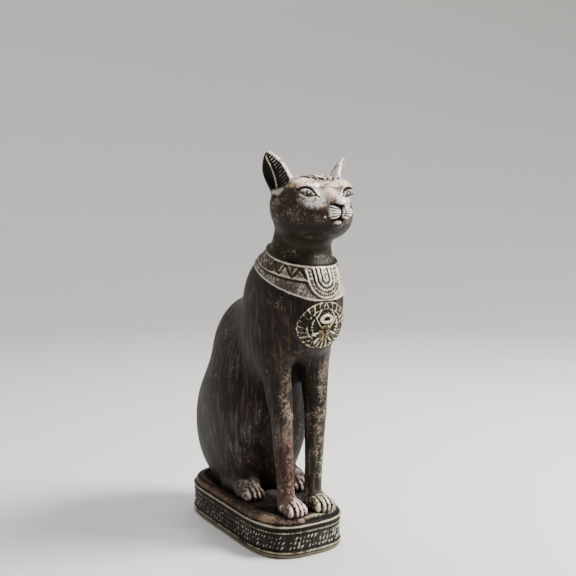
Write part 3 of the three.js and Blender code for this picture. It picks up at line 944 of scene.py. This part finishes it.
def headCoats(p, n):
    x, y, z = p.T
    q = np.abs(x)
    m = np.stack([q, y, z], 1)
    head = smooth(178, 182, z)
    yield head, (50, 42, 36), (108, 97, 85), 0.17
    # painted shade under the jaw: darker from the jaw down
    yield smooth(186, 180, z) * head, (24, 20, 17), (84, 76, 66), -0.12
    across, out, up, _, share = earPlace(x, y, z)
    ears = smooth(1.2, 0.4, earField(x, y, z)) * smooth(0.2, 1.2, grown(x, y, z, skull))
    near, far = ears * (x < 0), ears * (x > 0)
    # a pale coat over the brow, the crown and the ridge of the nose: partly rubbed paint, partly a
    # painted highlight where the light falls on the top of the head
    brow = smooth(204.5, 207, z - 0.03 * (y + 75)) * smooth(-38, -52, y) * (1 - ears)
    ridge = blob(p, (0, -83, 201), (6.5, 10, 5))
    yield np.maximum(brow, ridge), (122, 103, 92), (218, 198, 186), 0.4
    yield crownRelief(x, y, z)[1], (46, 38, 32), (96, 82, 70), -0.5
    yield near, (40, 36, 32), (190, 184, 170), 0.08
    rim = smooth(1.5, 0.7, earHalf(across, share) - np.abs(across)) * smooth(1, -1, across)
    yield near * rim, (96, 84, 77), (212, 198, 188), 0.42
    outside = smooth(0.5, 2.5, across) * smooth(-1, 1, out)
    yield near * outside, (24, 21, 18), (90, 84, 76), -0.1
    yield far, (104, 94, 88), (196, 186, 180), 0.34
    yield near * smooth(0, 1.5, out) * hump(up - 6.6, 2.4), (80, 74, 68), (180, 174, 164), 0.4
    patch = blob(m, (11.2, -81, 199.4), (8.6, 12, 6.4), 0.35)
    patch = patch * smooth(206, 203, z + 0.25 * (y + 78))
    yield patch, (108, 100, 94), (214, 203, 196), 0.38
    # the eye's opening, the iris and a painted highlight in it
    yield blob(m, (14.9, -78, 202.2), (4.6, 4, 1.8), 0.25), (64, 56, 49), (170, 160, 150), 0.13
    yield blob(m, (14.6, -78, 202.6), (1.9, 4, 1.5), 0.35), (42, 36, 30), (110, 98, 86), -0.1
    yield blob(m, (14.4, -78, 202.4), (0.7, 4, 0.6), 0.4), (120, 104, 92), (196, 180, 168), 0.4
    # copper rubbed bare beside the eyes, on the nose and on the pads
    yield 0.8 * blob(m, (20.5, -70, 207), (3, 6, 1.6), 0.5), (116, 92, 62), (190, 162, 120), 0.3
    yield 0.75 * blob(p, (-3.6, -84, 199.2), (2, 8, 2.6), 0.8), (124, 90, 72), (208, 172, 150), 0.3
    yield 0.65 * blob(m, (7.8, -87, 192.2), (1.8, 3, 2), 0.8), (104, 76, 60), (170, 136, 114), 0.2
    # pale pads, nose and lower lip
    yield blob(m, (4.3, -91, 190.7), (3.9, 6, 3.9), 0.15), (104, 95, 82), (232, 226, 214), 0.6
    yield blob(p, (-1.1, -92.8, 196.9), (3.3, 3.5, 1.6)), (150, 122, 104), (238, 222, 204), 0.7
    yield blob(p, (-1.1, -90, 184.9), (2.1, 4, 1.1)), (110, 98, 84), (204, 196, 176), 0.6
    # a green fleck over the left eye and a white one by the right pad
    yield blob(p, (12.6, -76.4, 208.4), (1.2, 3.6, 2.4)), (112, 108, 48), (186, 180, 84), 0.5
    yield blob(p, (-8, -86.8, 188), (0.6, 0.7, 0.9), 0.2), (120, 110, 96), (226, 218, 200), 0.6


def neckwearCoats(p, n):
    x, y, z = p.T
    s = collarShare(y, z)
    edge = collar["bandShare"] + collar["bandGrowth"] * (y - collar["chest"])
    near = (z > 125) & (z < 184) & (y < 20)
    # painted light: the band, the cape and the rims take more of the light coat on faces turned
    # towards the light, to the front and the right
    paintedLight = smooth(-0.5, 0.8, 0.5 * n[:, 0] - 0.8 * n[:, 1])
    yield near * smooth(0, -0.06, s) * smooth(180, 172, z), (44, 39, 31), (134, 130, 104), 0.13
    band = near * smooth(-0.03, 0, s) * (s < edge)
    yield band, (72, 63, 54), (172, 161, 143), 0.1 + 0.2 * paintedLight
    cape = near * (s >= edge) * (s < 1.02)
    yield cape, (84, 76, 70), (182, 173, 163), 0.12 + 0.34 * paintedLight
    rims = strip(s - 0.03, 0.9) + 0.7 * strip(s - edge + 0.03, 0.6) + strip(s - 0.965, 1)
    yield near * np.clip(rims, 0, 1), (86, 80, 67), (210, 202, 178), 0.24 + 0.26 * paintedLight
    on, body, _ = pendantRelief(x, y, z)
    yield on * body, (70, 64, 54), (190, 182, 162), 0.26
    u, w = medallionPlace(x, z)
    front = smooth(-48, -52, y)
    yield front * (1 - smooth(16, 17, np.hypot(u, w))), (36, 32, 25), (212, 204, 172), 0.1
    beetle = 1 - smooth(0.9, 1.1, np.hypot(u / 4.4, (w + 4.8) / 6.4))
    yield front * beetle, (44, 37, 28), (150, 134, 102), 0.12
    disc = np.hypot(u / 4.9, (w - 4.6) / 3.7)
    yield front * (1 - smooth(0.85, 1.1, disc)), (82, 74, 60), (204, 194, 168), 0.42
    yield front * (1 - smooth(0.2, 0.6, disc)), (40, 34, 28), (110, 100, 84), 0.1


def limbCoats(p, n):
    x, y, z = p.T
    q = np.abs(x)
    m = np.stack([q, y, z], 1)
    # painted light: the faces of the legs turned towards the light, to the camera's right, take
    # more of the light coat, and the faces turned away stay dark
    paintedLight = smooth(-0.25, 0.35, 0.851 * n[:, 0] - 0.525 * n[:, 1]) * smooth(0.3, -0.3, n[:, 1])
    onLegs = smooth(112, 92, z) * smooth(-30, -36, y) * smooth(-1, 1, z)
    yield onLegs, (36, 30, 25), (128, 115, 100), -0.1 + 0.15 * paintedLight
    near = onLegs * (x < 0)
    yield near * smooth(66, 40, z), (50, 36, 31), (124, 92, 82), -0.06 + 0.2 * paintedLight
    yield near * smooth(20, 8, z), (80, 60, 54), (208, 184, 176), 0.08 + 0.26 * paintedLight
    far = onLegs * (x > 0)
    outer = smooth(56, 26, z) * smooth(-0.2, 0.6, n[:, 0])
    yield far * outer, (46, 46, 36), (162, 162, 130), 0.1
    yield far * smooth(14, 8, z), (52, 48, 39), (204, 196, 168), 0.2
    yield blob(m, (18.3, -14, 4), (10, 13, 12)), (50, 42, 37), (178, 158, 146), 0.12


def baseCoats(p, n):
    x, y, z = p.T
    course = tailCourse()[::8]
    low = (z < 1.2) & (z > -8)
    gap = np.full(len(p), 99.0)
    gap[low] = np.sqrt(((p[low][:, None, :2] - course[None]) ** 2).sum(2)).min(1)
    onTail = smooth(tail["width"] / 2 + 0.4, tail["width"] / 2 - 0.2, gap)
    yield (z < 0.6) * (n[:, 2] > 0.3) * (z > -8), (34, 35, 29), (124, 126, 96), 0
    front = smooth(-20, -55, y) * smooth(-22, 10, x)
    yield (z < -4) * 1.0, (32, 29, 25), (158, 151, 126), -0.2 + 0.12 * front
    yield smooth(-22.5, -23.1, z), (26, 24, 21), (104, 98, 84), -0.75
    yield (z < -9.8) & (z > -21), (30, 29, 26), (176, 173, 160), -0.08 + 0.2 * front
    yield onTail, (42, 33, 27), (98, 74, 58), -0.1
    yield onTail * smooth(-30, -58, y), (48, 39, 32), (130, 110, 93), -0.02


bare = {"ground": (29, 23, 19), "brushed": (122, 112, 101), "took": -0.02}


def coated(p, n):
    paint = np.tile(tone(bare["ground"]), (len(p), 1))
    light = np.tile(tone(bare["brushed"]), (len(p), 1))
    took = np.full(len(p), bare["took"])
    back = smooth(-25, 10, p[:, 1]) * smooth(30, 90, p[:, 2])
    layers = [(back, (38, 32, 27), (120, 110, 98), 0.02)]
    for coats in (limbCoats, neckwearCoats, headCoats, baseCoats):
        layers += list(coats(p, n))
    for mask, ground, brushed, amount in layers:
        paint += mask[:, None] * (tone(ground) - paint)
        light += mask[:, None] * (tone(brushed) - light)
        took += mask * (amount - took)
    return paint, light, took


def writeCoats(obj):
    p, n, links = readMesh(obj.data)
    around = 7  # rounds of blurring
    worn = ((p - blurred(p, links, around)) * n).sum(1)[:, None]
    cut = relief(p)[:, None]
    cut -= blurred(cut, links, around)
    onCat = smooth(-1, 1, p[:, 2])[:, None]
    proud = worn + onCat * (cut + 0.3 * np.clip(worn - cut, -0.5, 0.4) - worn)
    proud = blurred(proud, links, 1)[:, 0]
    paint, light, took = coated(p, n)
    layers = {"paint": paint, "light": light, "took": took, "proud": proud}
    layers["hemmed"] = hemmed(p, n)
    layers["dull"] = smooth(0.6, 0.9, n[:, 2]) * (p[:, 2] < 0.3)
    for name, values in layers.items():
        kind, key = ("FLOAT_VECTOR", "vector") if values.ndim == 2 else ("FLOAT", "value")
        layer = obj.data.attributes.new(name, kind, "POINT")
        layer.data.foreach_set(key, values.ravel().astype(np.float32))


class Wire:
    # a shader socket that can stand in sums
    def __init__(self, tree, socket=None):
        self.tree = tree
        self.socket = socket

    def node(self, kind, settings, inputs, output=0):
        made = self.tree.nodes.new(kind)
        for key, value in settings.items():
            setattr(made, key, value)
        for key, value in inputs.items():
            if isinstance(value, Wire):
                self.tree.links.new(value.socket, made.inputs[key])
            else:
                made.inputs[key].default_value = value
        return Wire(self.tree, made.outputs[output])

    def sum(self, operation, a, b):
        many = any(isinstance(v, Wire) and v.socket.type in ("RGBA", "VECTOR") for v in (a, b))
        if not many:
            return self.node("ShaderNodeMath", {"operation": operation}, {0: a, 1: b})
        a, b = [(v, v, v) if isinstance(v, (int, float)) else v for v in (a, b)]
        return self.node("ShaderNodeVectorMath", {"operation": operation}, {0: a, 1: b})

    def __add__(self, other):
        return self.sum("ADD", self, other)

    def __sub__(self, other):
        return self.sum("SUBTRACT", self, other)

    def __mul__(self, other):
        return self.sum("MULTIPLY", self, other)

    def __rsub__(self, other):
        return self.sum("SUBTRACT", other, self)

    __radd__ = __add__
    __rmul__ = __mul__

    def rise(self, low, high):
        # 0 below low, 1 above high
        ends = {"Value": self, "From Min": low, "From Max": high}
        return self.node("ShaderNodeMapRange", {"interpolation_type": "SMOOTHSTEP"}, ends)

    def mix(self, other, share):
        other = other if isinstance(other, Wire) else (*other, 1)
        return self.node("ShaderNodeMix", {"data_type": "RGBA"}, {0: share, 6: self, 7: other}, 2)

    def noise(self, scale, detail=4, rough=0.6):
        inputs = {"Vector": self, "Scale": scale, "Detail": detail, "Roughness": rough}
        return self.node("ShaderNodeTexNoise", {}, inputs)


def carried(start, name, output):
    return start.node("ShaderNodeAttribute", {"attribute_name": name}, {}, output)


grain = {
    # scale, detail and roughness of each noise
    "fine": (1500, 3),
    "speck": (620, 6, 0.72),
    "patch": (110, 5),
    "cloud": (26, 3),
    "streak": (260, 5, 0.65),
    "paler": (430, 5, 0.7),
}
tint = {"warm": (84, 61, 47), "pale": (112, 105, 97), "grime": (26, 21, 17), "shade": (18, 15, 12)}
bump = {"Strength": 0.3, "Distance": 0.0004}


def resinMaterial():
    material = bpy.data.materials.new("patinatedResin")
    material.use_nodes = True
    start = Wire(material.node_tree)
    surface = material.node_tree.nodes["Principled BSDF"]
    place = start.node("ShaderNodeTexCoord", {}, {}, "Object")
    paint, light = carried(start, "paint", "Vector"), carried(start, "light", "Vector")
    single = ("took", "proud", "hemmed", "dull")
    took, proud, near, dull = [carried(start, name, "Fac") for name in single]
    warm, pale, dirt, shade = [tuple(tone(values)) for values in tint.values()]

    fine = place.noise(*grain["fine"])
    speck = place.noise(*grain["speck"])
    patch = place.noise(*grain["patch"])
    cloud = place.noise(*grain["cloud"])
    # streaks drawn out down the body
    drawn = place * (1, 1, 0.12)
    streak = drawn.noise(*grain["streak"])
    paler = drawn.noise(*grain["paler"])

    plain = 1 - took.rise(0.1, 0.3)
    body = start.node("ShaderNodeSeparateXYZ", {}, {0: place}, 2).rise(0.18, 0.165)
    colour = paint * (patch * 0.9 + 0.5) * (speck * 1.1 + 0.45)
    colour = colour.mix(warm, streak.rise(0.5, 0.68) * plain * body * 0.38)
    # pale streaks of paint on the body, and broad pale patches that are a painted sheen
    paleStreaksAndSheen = (paler * 0.7 + cloud * 0.45).rise(0.56, 0.76)
    colour = colour.mix(pale, paleStreaksAndSheen * plain * body * 0.4)
    mottle = (speck - 0.5) * 2 + (patch - 0.5) * 1.3
    cover = (took * 1.25 + proud * 2.1 + mottle).rise(0.22, 0.66)
    colour = colour.mix(light * (patch * 0.5 + 0.72), cover)
    grime = ((speck - 0.5) * 0.15 - proud).rise(0.03, 0.22)
    colour = colour.mix(dirt, grime * 0.8)
    # painted shade: darker where the cat and the slab close in on a point
    colour = colour.mix(shade, near.rise(0.2, 0.95) * 0.75)

    height = fine * 0.35 + speck * 0.5 + streak * 0.3
    varying = {
        "Base Color": colour,
        "Roughness": 0.5 - cover * 0.04 + (fine - 0.5) * 0.25 + dull * 0.4,
        "Metallic": cover * 0.28,
        "Normal": start.node("ShaderNodeBump", {}, {**bump, "Height": height}),
    }
    surface.inputs["Specular IOR Level"].default_value = 0.12
    for name, value in varying.items():
        material.node_tree.links.new(value.socket, surface.inputs[name])
    return material


writeCoats(figure)
figure.data.materials.clear()
figure.data.materials.append(resinMaterial())

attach(figure, "root")
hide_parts("cat_figure")


# Floor, light and camera

# a pale round floor that curves up into a wall, so that no horizon shows from any side
floor = {
    "flat": 1.0,  # radius of the flat part, radius of the bend and height of the wall, in metres
    "bend": 0.8,
    "wall": 1.2,
    "turns": 96,
    "steps": 14,
    "colour": (0.72, 0.71, 0.69, 1),
    "rough": 0.9,
}


def floorMesh():
    flat, bend, n = floor["flat"], floor["bend"], floor["turns"]
    course = [(flat * i / 4, 0) for i in range(1, 5)]
    for i in range(1, floor["steps"] + 1):
        turn = i / floor["steps"] * math.pi / 2
        course.append((flat + bend * math.sin(turn), bend * (1 - math.cos(turn))))
    course.append((flat + bend, bend + floor["wall"]))
    points = []
    for r, z in course:
        turns = [2 * math.pi * i / n for i in range(n)]
        points += [(r * math.cos(turn), r * math.sin(turn), z) for turn in turns]
    faces = [tuple(range(n))]
    for k in range(0, n * (len(course) - 1), n):
        for i in range(n):
            j = (i + 1) % n
            faces.append((k + i, k + n + i, k + n + j, k + j))
    return points, faces


points, faces = floorMesh()
ground = meshObject("floor", np.array(points) / mm, faces)
ground.data.shade_smooth()
paper = bpy.data.materials.new("paper")
paper.use_nodes = True
sheet = paper.node_tree.nodes["Principled BSDF"]
sheet.inputs["Base Color"].default_value = floor["colour"]
sheet.inputs["Roughness"].default_value = floor["rough"]
ground.data.materials.append(paper)

view = {
    "focal": 850,  # in parts of the frame's width
    "frame": 576,
    "sensor": 36,
    "heading": 31.7,  # degrees from +Y towards +X, and down from level
    "dip": 5.243,
    "eye": (-288.4, -499.5, 217.6),
}
lens = bpy.data.cameras.new("camera")
lens.sensor_width = view["sensor"]
lens.lens = view["focal"] / view["frame"] * view["sensor"]
lens.clip_start = 0.01
eyePoint = bpy.data.objects.new("camera", lens)
eyePoint.location = [v * mm for v in view["eye"]]
eyePoint.rotation_euler = (math.radians(90 - view["dip"]), 0, math.radians(-view["heading"]))
bpy.context.scene.collection.objects.link(eyePoint)
bpy.context.scene.camera = eyePoint

aim = (0, 0, 0.12)
lamps = [
    # name, place and size in metres, power in watts
    ("key", (0.62, -0.5, 0.85), 0.4, 31),
    ("top", (0.05, 0.25, 1.1), 0.7, 9),
    ("fill", (-0.9, -0.5, 0.45), 0.9, 0.6),
]
for name, place, size, power in lamps:
    data = bpy.data.lights.new(name, "AREA")
    data.size = size
    data.energy = power
    lamp = bpy.data.objects.new(name, data)
    lamp.location = place
    lamp.rotation_euler = (Vector(aim) - Vector(place)).to_track_quat("-Z", "Y").to_euler()
    bpy.context.scene.collection.objects.link(lamp)

room = {"colour": (0.86, 0.86, 0.87, 1), "strength": 0.2}
world = bpy.data.worlds.new("room")
world.use_nodes = True
world.node_tree.nodes["Background"].inputs["Color"].default_value = room["colour"]
world.node_tree.nodes["Background"].inputs["Strength"].default_value = room["strength"]
bpy.context.scene.world = world
